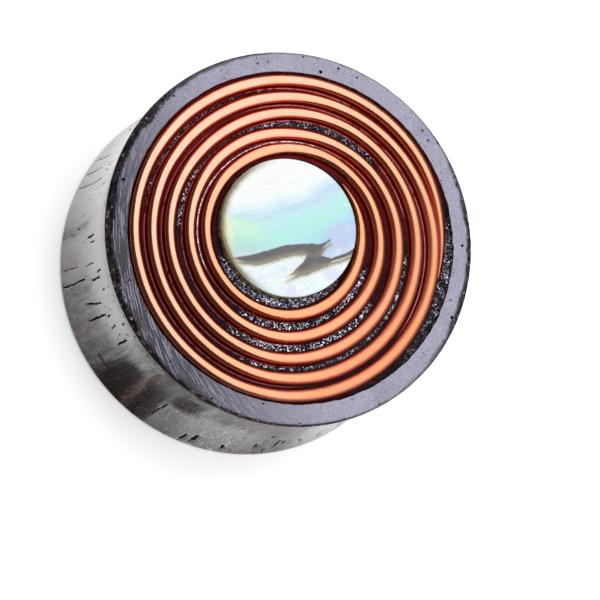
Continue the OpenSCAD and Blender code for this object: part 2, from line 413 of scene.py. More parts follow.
def resin():
    nu, nv = 800, 122
    t = np.arange(nu) * 2 * math.pi / nu
    s = np.linspace(0, 1, nv)
    r_out = RECESS_R - 0.012
    r = 3.9 + (r_out - 3.9) * s
    R, T = np.meshgrid(r, t, indexing="ij")
    x, y = R * np.cos(T), R * np.sin(T) + RECESS_OFF * s[:, None]
    rho, ang = np.hypot(x, y), np.degrees(np.arctan2(y, x)) % 360
    outer_a = np.full(R.shape, np.nan)   # spiral angle of the next wire outwards
    gap = np.full(R.shape, 9.0)          # distance to the nearest wire's flank
    gap_in = np.full(R.shape, 9.0)       # distance out from the next wire inwards
    gap_out = np.full(R.shape, 9.0)      # and in from the next wire outwards
    under = np.full(R.shape, 99.0)       # height of the wire's underside
    for k in range(6):
        a = ang + 360 * k
        ok = (a >= WIRE_START) & (a <= WIRE_START + WIRE_SWEEP)
        aa = np.clip(a, WIRE_START, WIRE_START + WIRE_SWEEP)
        rw = route_r(aa)
        w, h, zc = wire_section(aa)
        d = np.abs(rho - rw)
        gap = np.where(ok, np.minimum(gap, d - w), gap)
        gap_in = np.where(ok & (rw < rho), np.minimum(gap_in, d - w), gap_in)
        gap_out = np.where(ok & (rw > rho), np.minimum(gap_out, d - w), gap_out)
        under = np.where(ok & (d < w), np.minimum(under, zc - h * np.sqrt(np.clip(1 - (d / w) ** 2, 0, 1)) - 0.015), under)
        outer_a = np.where(ok & (rw > rho), a, outer_a)
    lump = np.zeros(R.shape)
    for a0, a1, k in LUMPS:
        lump = np.maximum(lump, k * smoothstep(outer_a, a0 - 6, a0 + 10) * smoothstep(-outer_a, -a1 - 6, -a1 + 10))
    first = np.isnan(outer_a)
    off = (ang + 180) % 360 - 180
    lump = np.where(first, np.interp(off, [-30, -5, 25, 44, 62, 80], [0, 0.38, 0.48, 0.62, 0.56, 0]), np.nan_to_num(lump))
    p3 = np.stack([x, y, 0 * x], -1)
    coarse = fbm(p3 * 2.6, 2, 5)
    fine = fbm(p3 * 6.5, 2, 7)
    level = 12.93 + 0.05 * coarse + lump * (0.13 + 0.09 * coarse + 0.10 * fine)
    crescent = first * smoothstep(off, -45, -10) * smoothstep(-off, -82, -55)
    level += 0.12 * crescent
    level += (0.03 + 0.03 * lump) * np.exp(-np.clip(gap, 0, None) / 0.05)
    level += 0.10 * np.exp(-(r_out - R) / 0.06)
    shell_gap = np.hypot(x - SHELL_X, y - SHELL_Y) - SHELL_R
    level += 0.07 * np.exp(-np.clip(shell_gap, 0, None) / 0.05) * (gap > 0)
    # under the shell the bed lies flat
    level = np.where(shell_gap < 0.01, np.minimum(level, BED_Z + 0.005), level)
    z = np.minimum(level, under)
    bead_painted_highlight = np.zeros(R.shape)
    for a0, a1 in LINES:
        bead_painted_highlight = np.maximum(bead_painted_highlight, np.nan_to_num(smoothstep(outer_a, a0, a0 + 14) * smoothstep(-outer_a, -a1, 14 - a1)))
    level += 0.05 * bead_painted_highlight * np.exp(-((gap_in - 0.085) / 0.06) ** 2)
    z = np.minimum(z, level)
    lump = lump * smoothstep(gap, 0.05, 0.13)
    top = np.stack([x, y, z], -1)
    skirt = top[-1:].copy()
    skirt[..., 2] = RECESS_Z + 0.03
    pts = np.concatenate([top, skirt])
    att = {"lump": np.concatenate([lump, 0 * lump[-1:]]), "bead_painted_highlight": np.concatenate([bead_painted_highlight, 0 * bead_painted_highlight[-1:]])}
    # a thin red line along the foot of a wire, a painted reflection: at the outer foot from 190 to 340 degrees, and at
    # the inner foot, brighter, from 20 to 165 degrees
    foot = 0.68 * smoothstep(np.cos(np.radians(ang - 255)), 0.10, 0.5) * (gap_in < 1.5) * ~first
    start = np.interp(ang, [20, 60, 100, 165], [9.2, 9.2, 6.0, 6.0])
    foot = np.maximum(foot, smoothstep(np.sin(np.radians(ang)), 0.15, 0.45) * smoothstep(rho, start - 0.3, start + 0.3) * (gap_out < 1.5))
    foot = foot * (1 - smoothstep(lump, 0.2, 0.6))
    att["foot"] = np.concatenate([foot, 0 * foot[-1:]])
    beside = np.clip(np.where(y > 0, gap_out, gap_in), -0.3, 0.6)
    att["beside"] = np.concatenate([beside, beside[-1:]])
    inward = np.clip(gap_in, -0.3, 0.6)
    att["inward"] = np.concatenate([inward, inward[-1:]])
    near = np.exp(-np.clip(gap, 0, None) / 0.16)
    att["near"] = np.concatenate([near, near[-1:]])
    return grid_object("resin", pts[::-1], cap_start=(0, 0, RECESS_Z + 0.03), cap_end=(0, 0, BED_Z + 0.005),
                       attrs={k: v[::-1] for k, v in att.items()})


# ---------------------------------------------------------------- shell
SHELL_TURN = math.radians(56)
# Outline of the dark vein in the shell's own plane, in mm from the disc's middle: across, and up.
VEIN = [
    # along its upper edge, with a small spur
    (-4.90, -2.28), (-4.34, -2.21), (-3.53, -2.10), (-2.71, -1.96), (-1.89, -1.71), (-1.06, -1.44), (-0.24, -1.23), (0.59, -1.12),
    (1.40, -1.06), (2.20, -1.08), (2.60, -0.93), (2.86, -0.76), (3.00, -0.72), (2.98, -0.84), (2.72, -1.02), (2.36, -1.42),
    # along the branch to the right and back
    (2.14, -1.90), (3.02, -2.04), (3.69, -1.80), (4.28, -1.55), (4.90, -1.05), (4.90, -1.50), (4.35, -1.83), (3.85, -2.02),
    # down to the tip and back up the stroke
    (3.01, -2.28), (2.17, -2.60), (1.34, -2.98), (0.76, -3.15), (-0.06, -3.38), (-0.40, -3.50), (0.11, -3.17), (0.78, -2.52), (1.30, -1.90),
    # back along the lower edge
    (0.98, -1.66), (0.15, -1.77), (-0.84, -2.05), (-1.83, -2.36), (-2.49, -2.48), (-3.30, -2.42), (-4.12, -2.36), (-4.90, -2.40),
]


def outline_distance(u, v, poly):
    """Signed distance to a closed outline, positive inside."""
    poly = np.array(poly)
    nxt = np.roll(poly, -1, 0)
    best = np.full(u.shape, 9.0)
    inside = np.zeros(u.shape, bool)
    for (x0, y0), (x1, y1) in zip(poly, nxt):
        dx, dy = x1 - x0, y1 - y0
        t = np.clip(((u - x0) * dx + (v - y0) * dy) / (dx * dx + dy * dy), 0, 1)
        best = np.minimum(best, np.hypot(u - x0 - t * dx, v - y0 - t * dy))
        if y0 != y1:
            cross = ((y0 > v) != (y1 > v)) & (u < dx * (v - y0) / (y1 - y0) + x0)
            inside ^= cross
    return np.where(inside, best, -best)


def shell():
    nu = 560
    t = np.arange(nu) * 2 * math.pi / nu
    edge = 0.10
    rows = [(SHELL_R - 0.02, BED_Z + 0.03), (SHELL_R, BED_Z + 0.1), (SHELL_R, 13.2), (SHELL_R, SHELL_TOP - 0.18)]
    for a in np.radians([12, 30, 50, 70, 88]):
        rows.append((SHELL_R - edge + edge * math.cos(a), SHELL_TOP - 0.04 - edge + edge * math.sin(a)))
    flat = len(rows)
    for r in np.linspace(SHELL_R - edge - 0.03, 0.05, 112):
        q = r / (SHELL_R - edge)
        rows.append((r, SHELL_TOP - 0.04 * q ** 3))
    rows = np.array(rows)
    R, Z = np.repeat(rows[:, 0][:, None], nu, 1), np.repeat(rows[:, 1][:, None], nu, 1)
    T = np.repeat(t[None], len(rows), 0)
    x, y = R * np.cos(T), R * np.sin(T)
    u = x * math.cos(SHELL_TURN) + y * math.sin(SHELL_TURN)
    v = -x * math.sin(SHELL_TURN) + y * math.cos(SHELL_TURN)
    p3 = np.stack([u, v, 0 * u], -1)
    wob_u, wob_v = 0.05 * fbm(p3 * 2.5, 3, 61), 0.045 * fbm(p3 * 3.1, 3, 62)
    d = outline_distance(u + wob_u, v + wob_v, VEIN)
    d_low = outline_distance(u + wob_u - 0.06, v + wob_v + 0.27, VEIN)
    mid = np.interp(u, [-4.9, -2.5, -1.0, 1.0, 1.8, 2.2, 3.7, 4.9], [-2.33, -2.2, -1.75, -1.45, -1.75, -2.25, -1.93, -1.3])
    on_top = np.arange(len(rows))[:, None] >= flat - 2
    # the vein lies a hair below the polished nacre
    Z = Z - 0.012 * smoothstep(d, 0, 0.12) * on_top - 0.004 * np.abs(fbm(p3 * 1.2, 2, 63)) * on_top
    pts = np.stack([x + SHELL_X, y + SHELL_Y, Z], -1)
    return grid_object("abalone_disc", pts, cap_start=(SHELL_X, SHELL_Y, BED_Z + 0.03), cap_end=(SHELL_X, SHELL_Y, Z[-1].mean()),
                       attrs={"vein": d, "vein_low": d_low, "across": u, "up": v, "above": v + wob_v - mid, "edge": SHELL_R - R})


# ---------------------------------------------------------------- node helpers
class Nodes:
    """Builds one material's node tree from short calls. A value that is a socket is linked, others are set."""

    def __init__(self, name):
        self.mat = bpy.data.materials.new(name)
        self.mat.use_nodes = True
        self.nt = self.mat.node_tree
        self.bsdf = self.nt.nodes["Principled BSDF"]
        self.out = self.nt.nodes["Material Output"]

    def put(self, socket, value):
        if isinstance(value, bpy.types.NodeSocket):
            self.nt.links.new(value, socket)
        elif isinstance(value, tuple) and len(value) == 3 and socket.type == "RGBA":
            socket.default_value = (*value, 1)
        else:
            socket.default_value = value

    def node(self, kind, props=None, **ins):
        n = self.nt.nodes.new("ShaderNode" + kind)
        for k, v in (props or {}).items():
            setattr(n, k, v)
        for k, v in ins.items():
            self.put(n.inputs[int(k[1:]) if k[0] == "i" and k[1:].isdigit() else k.replace("_", " ")], v)
        return n

    def set(self, **ins):
        for k, v in ins.items():
            self.put(self.bsdf.inputs[k.replace("_", " ")], v)

    def math(self, op, a, b=None, c=None, clamp=False):
        n = self.node("Math", {"operation": op, "use_clamp": clamp}, i0=a)
        if b is not None:
            self.put(n.inputs[1], b)
        if c is not None:
            self.put(n.inputs[2], c)
        return n.outputs[0]

    def add(self, a, b):
        return self.math("ADD", a, b)

    def mul(self, a, b):
        return self.math("MULTIPLY", a, b)

    def step(self, v, lo, hi, to_lo=0.0, to_hi=1.0):
        return self.node("MapRange", {"interpolation_type": "SMOOTHSTEP"}, Value=v, From_Min=lo, From_Max=hi,
                         To_Min=to_lo, To_Max=to_hi).outputs[0]

    def mix(self, f, a, b, mode="MIX"):
        n = self.nt.nodes.new("ShaderNodeMix")
        n.data_type = "RGBA"
        n.blend_type = mode
        self.put(n.inputs[0], f)
        self.put(n.inputs[6], a)
        self.put(n.inputs[7], b)
        return n.outputs[2]

    def mixf(self, f, a, b):
        n = self.nt.nodes.new("ShaderNodeMix")
        n.data_type = "FLOAT"
        self.put(n.inputs[0], f)
        self.put(n.inputs[2], a)
        self.put(n.inputs[3], b)
        return n.outputs[0]

    def ramp(self, f, stops):
        n = self.nt.nodes.new("ShaderNodeValToRGB")
        e = n.color_ramp.elements
        while len(e) < len(stops):
            e.new(0.5)
        for el, (pos, col) in zip(e, stops):
            el.position = pos
            el.color = (*col, 1)
        self.put(n.inputs[0], f)
        return n.outputs[0]

    def attr(self, name):
        return self.node("Attribute", {"attribute_name": name, "attribute_type": "GEOMETRY"}).outputs["Fac"]

    def coord(self):
        """Place on the object, in millimetres."""
        tc = self.node("TexCoord")
        return self.node("VectorMath", {"operation": "SCALE"}, i0=tc.outputs["Object"], Scale=1000.0).outputs[0]

    def normal(self):
        return self.node("TexCoord").outputs["Normal"]

    def split(self, v):
        return self.node("SeparateXYZ", i0=v).outputs

    def join(self, x, y, z):
        return self.node("CombineXYZ", X=x, Y=y, Z=z).outputs[0]

    def scaled(self, v, x, y, z):
        return self.node("VectorMath", {"operation": "MULTIPLY"}, i0=v, i1=(x, y, z)).outputs[0]

    def vadd(self, a, b):
        return self.node("VectorMath", {"operation": "ADD"}, i0=a, i1=b).outputs[0]

    def noise(self, v, scale, detail=3.0, rough=0.5, dist=0.0, color=False):
        n = self.node("TexNoise", Vector=v, Scale=scale, Detail=detail, Roughness=rough, Distortion=dist)
        return n.outputs["Color" if color else "Fac"]

    def voronoi(self, v, scale, out="Distance", rand=1.0, feature="F1"):
        n = self.node("TexVoronoi", {"feature": feature}, Vector=v, Scale=scale, Randomness=rand)
        return n.outputs[out]

    def bump(self, height, distance, strength=1.0, normal=None):
        n = self.node("Bump", Height=height, Distance=distance, Strength=strength)
        if normal is not None:
            self.put(n.inputs["Normal"], normal)
        return n.outputs[0]


def lin(r, g, b):
    """A colour given as 0 to 255 screen values, made linear."""
    return tuple((c / 255 / 12.92) if c / 255 <= 0.04045 else ((c / 255 + 0.055) / 1.055) ** 2.4 for c in (r, g, b))


# ---------------------------------------------------------------- materials
def wood_material():
    m = Nodes("dark_wood")
    p = m.coord()
    x, y, z = m.split(p)
    nx, ny, nz = m.split(m.normal())
    face = m.step(m.math("ABSOLUTE", nz), 0.75, 0.97)
    side = m.math("SUBTRACT", 1.0, face)
    warp = m.noise(m.scaled(p, 1, 1, 0.3), 0.35, 2.0, color=True)
    g = m.vadd(m.scaled(p, 1, 1, 0.07), m.scaled(warp, 1.6, 1.6, 0.0))
    broad = m.noise(g, 0.55, 4.0, 0.55)
    strand = m.noise(g, 2.3, 3.0, 0.6)
    fine = m.noise(m.scaled(g, 1, 1, 0.6), 5.5, 3.0, 0.6)
    thread = m.noise(m.scaled(g, 1, 1, 0.5), 11.0, 2.0, 0.5)
    heart, rust, pale = m.attr("heart"), m.attr("rust"), m.attr("pale")
    speck, silver, edge_painted_shade = m.attr("speck"), m.attr("silver"), m.attr("edge_painted_shade")
    dim = m.step(m.add(m.attr("dim"), m.add(m.mul(m.add(strand, -0.5), 0.9), m.mul(m.add(thread, -0.5), 0.5))), 0.06, 0.94)
    # side: brown and grey strands along the plug's axis, with thin rusty and thin dark threads
    side_col = m.ramp(m.add(m.mul(broad, 0.4), m.mul(strand, 0.6)), [
        (0.37, lin(26, 18, 21)), (0.46, lin(46, 34, 38)), (0.53, lin(74, 58, 63)), (0.61, lin(96, 82, 88))])
    ember = m.noise(m.vadd(g, (11.0, 4.0, 2.0)), 1.1, 3.0, 0.65)
    side_col = m.mix(m.step(ember, 0.49, 0.60, 0.0, 0.72), side_col, m.mix(m.step(strand, 0.42, 0.58), lin(70, 34, 29), lin(116, 62, 50)))
    side_col = m.mix(m.mul(m.step(thread, 0.56, 0.66), m.step(strand, 0.44, 0.56, 0.15, 0.8)), side_col, lin(140, 96, 84))
    side_col = m.mix(m.step(thread, 0.46, 0.36, 0.0, 0.75), side_col, lin(22, 15, 17))
    # greenish-grey painted sheen on the pale stretches
    side_col = m.mix(m.mul(pale, 0.35), side_col, lin(108, 118, 108))
    # the grey-lilac cast over the upper half: painted sheen
    side_col = m.mix(m.mul(m.attr("lilac_painted_sheen"), m.step(m.add(m.mul(thread, 0.5), m.mul(strand, 0.5)), 0.40, 0.56, 0.12, 0.66)), side_col, lin(88, 82, 98))
    # painted shade darkens the lower half
    side_col = m.mix(m.mul(m.attr("lower_painted_shade"), 0.85), side_col, m.mix(1.0, side_col, (0.46, 0.36, 0.40), "MULTIPLY"))
    # painted shade on the dim stretches
    side_col = m.mix(m.mul(dim, 0.60), side_col, lin(26, 20, 24))
    core = m.step(m.add(heart, m.add(m.mul(m.add(strand, -0.5), 0.9), m.mul(m.add(thread, -0.5), 0.9))), 0.22, 0.92)
    side_col = m.mix(m.mul(core, 0.93), side_col, m.mix(m.step(thread, 0.48, 0.62), lin(17, 12, 13), lin(58, 40, 37)))
    rusty = m.step(m.add(rust, m.mul(m.add(thread, -0.5), 1.6)), 0.30, 0.85)
    side_col = m.mix(m.mul(rusty, 0.8), side_col, m.mix(m.step(thread, 0.50, 0.64), lin(70, 46, 42), lin(116, 84, 76)))
    # a short scratch across the grain
    across = m.mul(m.mul(m.step(x, -1.0, -0.7), m.step(x, 1.6, 0.2)), m.mul(m.step(y, -11.0, -11.5), side))
    drop = m.add(m.add(z, -2.43), m.mul(m.add(strand, -0.5), 0.10))
    cutline = m.mul(across, m.step(m.math("ABSOLUTE", drop), 0.24, 0.12))
    side_col = m.mix(m.mul(cutline, 0.9), side_col, lin(14, 11, 12))
    # fine pale dashes along the grain: partly pale flecks in the wood, partly painted glints
    flecks = m.noise(m.join(m.add(x, m.mul(z, 0.06)), m.add(y, m.mul(z, 0.04)), m.mul(z, 0.13)), 9.5, 2.0, 0.7)
    dash = m.step(m.add(flecks, m.add(m.add(m.mul(speck, 0.09), m.mul(silver, 0.015)), m.mul(m.add(strand, -0.5), 0.40))), 0.655, 0.73)
    dash = m.mul(m.mul(dash, m.step(speck, 0.0, 0.35)), m.math("SUBTRACT", 1.0, m.mul(core, 0.75)))
    glint = m.mix(m.math("MAXIMUM", silver, m.step(broad, 0.45, 0.56)), lin(166, 134, 124), lin(188, 186, 194))
    side_col = m.mix(m.mul(dash, m.add(0.52, m.mul(silver, 0.10))), side_col, glint)
    # face: darker towards 255 degrees
    toward = m.add(m.mul(x, -0.259 / 13.1), m.mul(y, -0.966 / 13.1))
    shade = m.step(m.add(toward, m.mul(m.add(broad, -0.5), 0.4)), 0.05, 0.95)
    # the face is a lighter grey-mauve than the side's dark wood: partly its own colour, partly painted sheen
    face_col = m.ramp(m.add(m.mul(broad, 0.5), m.mul(fine, 0.5)), [
        (0.32, lin(93, 91, 106)), (0.5, lin(121, 119, 137)), (0.68, lin(132, 129, 145))])
    grit = m.noise(p, 7.0, 3.0, 0.7)
    face_col = m.mix(m.step(grit, 0.50, 0.66, 0.0, 0.45), face_col, lin(98, 98, 116))
    face_col = m.mix(m.step(grit, 0.48, 0.34, 0.0, 0.45), face_col, lin(148, 150, 166))
    face_col = m.mix(m.mul(shade, 0.97), face_col, lin(20, 16, 28))
    # fine arcs left by sanding, seen best where the face is dark
    cx, cy = m.add(x, -5.6), m.add(y, -8.3)
    reach = m.math("SQRT", m.add(m.mul(cx, cx), m.mul(cy, cy)))
    stroke = m.noise(m.join(m.mul(reach, 1.6), m.mul(m.math("ARCTAN2", cy, cx), 2.6), 0.0), 3.6, 3.0, 0.65)
    wave = m.math("SINE", m.add(m.mul(reach, 33.0), m.mul(m.noise(p, 1.6, 3.0), 9.0)))
    sand = m.add(m.mul(wave, 0.065), stroke)
    face_col = m.mix(m.mul(m.step(sand, 0.50, 0.64), m.add(0.05, m.mul(shade, 0.60))), face_col, lin(132, 130, 150))
    col = m.mix(face, side_col, face_col)
    # the rounded outer edge: near black, painted shade, with a few bare specks of rubbed wood
    bits = m.noise(p, 3.0, 3.0, 0.6)
    bare = m.mix(m.step(m.noise(p, 5.0, 1.0), 0.42, 0.6), lin(86, 66, 70), lin(144, 124, 130))
    edge_col = m.mix(m.step(bits, 0.63, 0.68), m.mix(m.step(strand, 0.45, 0.62), lin(12, 9, 11), lin(38, 29, 33)), bare)
    col = m.mix(m.mul(edge_painted_shade, 0.95), col, edge_col)
    # small pores through the whole block, cut lengthwise on the side and across on the faces
    cell = m.voronoi(m.vadd(m.scaled(p, 1, 1, 0.14), m.scaled(warp, 0.5, 0.5, 0)), 2.6)
    some = m.step(m.noise(p, 0.9, 2.0), 0.42, 0.6)
    tiny = m.mul(m.step(cell, 0.15, 0.08), some)
    pore = m.attr("pore")
    nick = m.attr("nick")
    # near black inside the pores: partly their own dark, partly painted shade that the shallow pits cannot cast
    pit_col = m.mix(m.mul(face, m.step(m.noise(p, 1.7, 1.0), 0.5, 0.56)), lin(14, 11, 12), m.mix(bits, lin(60, 44, 50), lin(166, 146, 154)))
    hole = m.step(m.add(pore, m.mul(m.add(fine, -0.5), 0.20)), 0.70, 0.80)
    col = m.mix(m.mul(tiny, m.mixf(face, 0.8, 0.45)), col, pit_col)
    col = m.mix(hole, col, pit_col)
    col = m.mix(m.mul(m.step(nick, 0.35, 0.8), 0.55), col, bare)
    m.set(Base_Color=col)
    # satin faces, polished side, dull pits, nicks and outer edge
    dull = m.math("MAXIMUM", hole, m.math("MAXIMUM", m.mul(nick, 0.8), m.math("MAXIMUM", m.mul(edge_painted_shade, 0.95), m.mul(tiny, 0.8))))
    gloss = m.mul(m.math("SUBTRACT", 1.0, dull), m.math("SUBTRACT", 1.0, m.mul(m.mul(dim, side), 0.9)))
    gloss = m.mul(gloss, m.math("SUBTRACT", 1.0, m.mul(m.mul(m.math("MAXIMUM", core, cutline), side), 0.85)))
    gloss = m.mul(gloss, m.math("SUBTRACT", 1.0, m.mul(m.mul(shade, face), 0.45)))
    rough = m.mixf(face, m.add(0.18, m.mul(fine, 0.14)), m.add(0.34, m.mul(sand, 0.22)))
    m.set(Roughness=m.math("MINIMUM", m.add(rough, m.mul(dull, 0.5)), 0.95))
    m.set(Coat_Weight=m.mul(gloss, m.mixf(face, m.mixf(pale, 0.72, 1.0), 0.35)), Coat_Roughness=0.16)
    m.set(Specular_IOR_Level=m.mul(gloss, m.mixf(face, m.mixf(pale, 0.4, 0.8), 0.3)))
    h = m.add(m.mul(sand, m.mul(face, 0.9)), m.mul(m.add(fine, m.mul(thread, 0.5)), m.mixf(face, 0.6, 0.35)))
    h = m.add(h, m.add(m.mul(tiny, -1.2), m.mul(m.mul(m.mul(flecks, speck), side), 2.0)))
    m.set(Normal=m.bump(h, 0.000012, 0.8))
    return m.mat


def copper_material():
    m = Nodes("copper_wire")
    p = m.coord()
    x, y, z = m.split(p)
    nx, ny, nz = m.split(m.normal())
    radius = m.math("SQRT", m.add(m.mul(x, x), m.mul(y, y)))
    # the crown's colour pales from orange to peach towards about 195 degrees and on the outer turns: painted glare
    t = m.add(0.62, m.mul(m.add(m.mul(x, -0.966), m.mul(y, -0.259)), 0.042))
    t = m.mul(t, m.step(radius, 5.2, 7.8, 0.5, 1.0))
    t = m.add(t, m.mul(m.add(m.noise(p, 0.5, 2.0), -0.5), 0.3))
    t = m.math("ADD", t, 0.0, clamp=True)
    # crown and sides of one copper, the crown paler and the sides redder: painted light
    crown_painted_light = m.mix(t, (0.46, 0.176, 0.073), (0.48, 0.262, 0.190))
    soft = m.step(m.add(m.mul(x, 0.076), m.mul(y, 0.022)), 0.05, 0.75)
    flank_painted_shade = m.mix(soft, (0.48, 0.128, 0.074), (0.54, 0.155, 0.099))
    # the wire's sides: redder and darker than the crown, painted shade, and a little darker still towards 245 degrees
    towards = m.math("DIVIDE", m.add(m.mul(x, -0.423), m.mul(y, -0.906)), radius)
    flank_painted_shade = m.mix(m.step(towards, 0.2, 0.95), flank_painted_shade, (0.36, 0.088, 0.052))
    run = m.join(m.mul(m.attr("run"), 0.35), m.mul(m.attr("round"), 2.2), 0.0)
    grain = m.noise(run, 6.0, 3.0, 0.6)
    top = m.step(m.add(nz, m.mul(m.add(grain, -0.5), 0.10)), m.mixf(soft, 0.78, 0.68), m.mixf(soft, 0.93, 0.97))
    col = m.mix(top, flank_painted_shade, crown_painted_light)
    stain = m.step(m.noise(p, 1.1, 3.0, 0.6), 0.52, 0.72)
    col = m.mix(m.mul(stain, m.mixf(top, 0.45, 0.12)), col, (0.30, 0.075, 0.035))
    # the drawing lines, too, are darker on the sides: painted shade
    drawn = m.noise(m.join(m.mul(m.attr("run"), 0.12), m.mul(m.attr("round"), 3.0), 0.0), 3.0, 2.0, 0.5)
    col = m.mix(m.mul(m.step(drawn, 0.50, 0.66), 0.32), col, m.mix(top, (0.20, 0.035, 0.025), (0.48, 0.15, 0.06)))
    m.set(Base_Color=col, Roughness=m.add(m.add(0.10, m.mul(soft, 0.30)), m.mul(grain, 0.12)))
    m.bsdf.inputs["Metallic"].default_value = 1.0
    # the tint at a slant is also paler on the crown and redder on the sides: painted light
    m.set(Specular_Tint=m.mix(m.step(nz, 0.84, 0.96), (0.34, 0.098, 0.056), (0.40, 0.22, 0.19)))
    m.set(Normal=m.bump(m.add(grain, m.mul(m.noise(p, 9.0, 2.0), 0.6)), 0.000004, 0.6))
    return m.mat


def resin_material():
    m = Nodes("black_resin")
    p = m.coord()
    lump = m.attr("lump")
    beside = m.attr("beside")
    crumb = m.noise(p, 5.0, 2.0, 0.55, dist=0.6)
    flake = m.voronoi(m.vadd(p, m.scaled(m.noise(p, 4.0, 1.0, color=True), 0.25, 0.25, 0.25)), 6.5, "Color")
    fr, fg, fb = (m.node("SeparateColor", i0=flake)).outputs
    ridge = m.math("ABSOLUTE", m.add(crumb, -0.5))
    grain = m.voronoi(m.vadd(m.scaled(p, 1, 1, 0.5), m.scaled(m.noise(p, 6.0, 1.0, color=True), 0.10, 0.10, 0.0)), 12.0, "Color")
    gr, gg, gb = (m.node("SeparateColor", i0=grain)).outputs
    spark = m.mul(m.step(gr, 0.58, 0.70), m.step(ridge, 0.10, 0.05))
    spark = m.mul(spark, m.step(m.add(lump, m.mul(m.add(m.noise(p, 1.6, 2.0), -0.5), 0.7)), 0.40, 0.75))
    wander = m.mul(m.add(m.noise(p, 1.2, 2.0), -0.5), 0.06)
    # the raised line of resin along the wire: its brightness is a painted highlight
    bead_painted_highlight = m.mul(m.step(m.math("ABSOLUTE", m.add(m.add(m.attr("inward"), -0.10), wander)), 0.034, 0.014), m.step(m.attr("bead_painted_highlight"), 0.1, 0.5))
    # black, with a painted red reflection of the copper close to the wire, stronger towards about 145 degrees
    base = m.mix(m.step(fg, 0.3, 0.9), (0.003, 0.002, 0.003), (0.010, 0.006, 0.012))
    x, y, z = m.split(p)
    warm = m.step(m.add(m.mul(x, -0.82), m.mul(y, 0.57)), -4.0, 8.0)
    copper_painted_reflection = m.mix(warm, (0.05, 0.002, 0.003), (0.24, 0.012, 0.008))
    base = m.mix(m.mul(m.attr("near"), m.math("SUBTRACT", 1.0, m.step(lump, 0.1, 0.5))), base, copper_painted_reflection)
    inner = m.step(m.math("SQRT", m.add(m.mul(x, x), m.mul(y, y))), 5.9, 5.4)
    base = m.mix(m.mul(m.mul(m.step(lump, 0.25, 0.7), m.step(fb, 0.25, 0.75)), m.add(0.15, m.mul(inner, 0.85))), base, lin(66, 60, 76))
    col = m.mix(spark, base, m.mix(m.step(gg, 0.1, 0.8), lin(116, 114, 134), lin(236, 236, 246)))
    # the thin red line at a wire's foot: painted reflection
    foot = m.mul(m.step(m.math("ABSOLUTE", m.add(m.add(beside, -0.055), m.mul(wander, 0.3))), 0.045, 0.02), m.step(m.attr("foot"), 0.1, 0.6))
    col = m.mix(foot, col, m.mix(m.step(m.attr("foot"), 0.70, 0.95), (0.17, 0.030, 0.030), (0.33, 0.075, 0.075)))
    col = m.mix(bead_painted_highlight, col, m.mix(m.step(crumb, 0.40, 0.60), lin(150, 120, 136), lin(226, 214, 228)))
    m.set(Base_Color=col, Metallic=m.math("MAXIMUM", m.mul(m.math("MAXIMUM", spark, bead_painted_highlight), 0.55), m.mul(foot, 0.7)), Roughness=m.mixf(spark, 0.15, 0.35))
    m.bsdf.inputs["Specular IOR Level"].default_value = 0.03
    m.set(Normal=m.bump(m.add(m.mul(crumb, m.add(0.3, lump)), m.mul(m.noise(p, 12.0, 1.0), 0.2)), 0.00008, 0.8))
    return m.mat


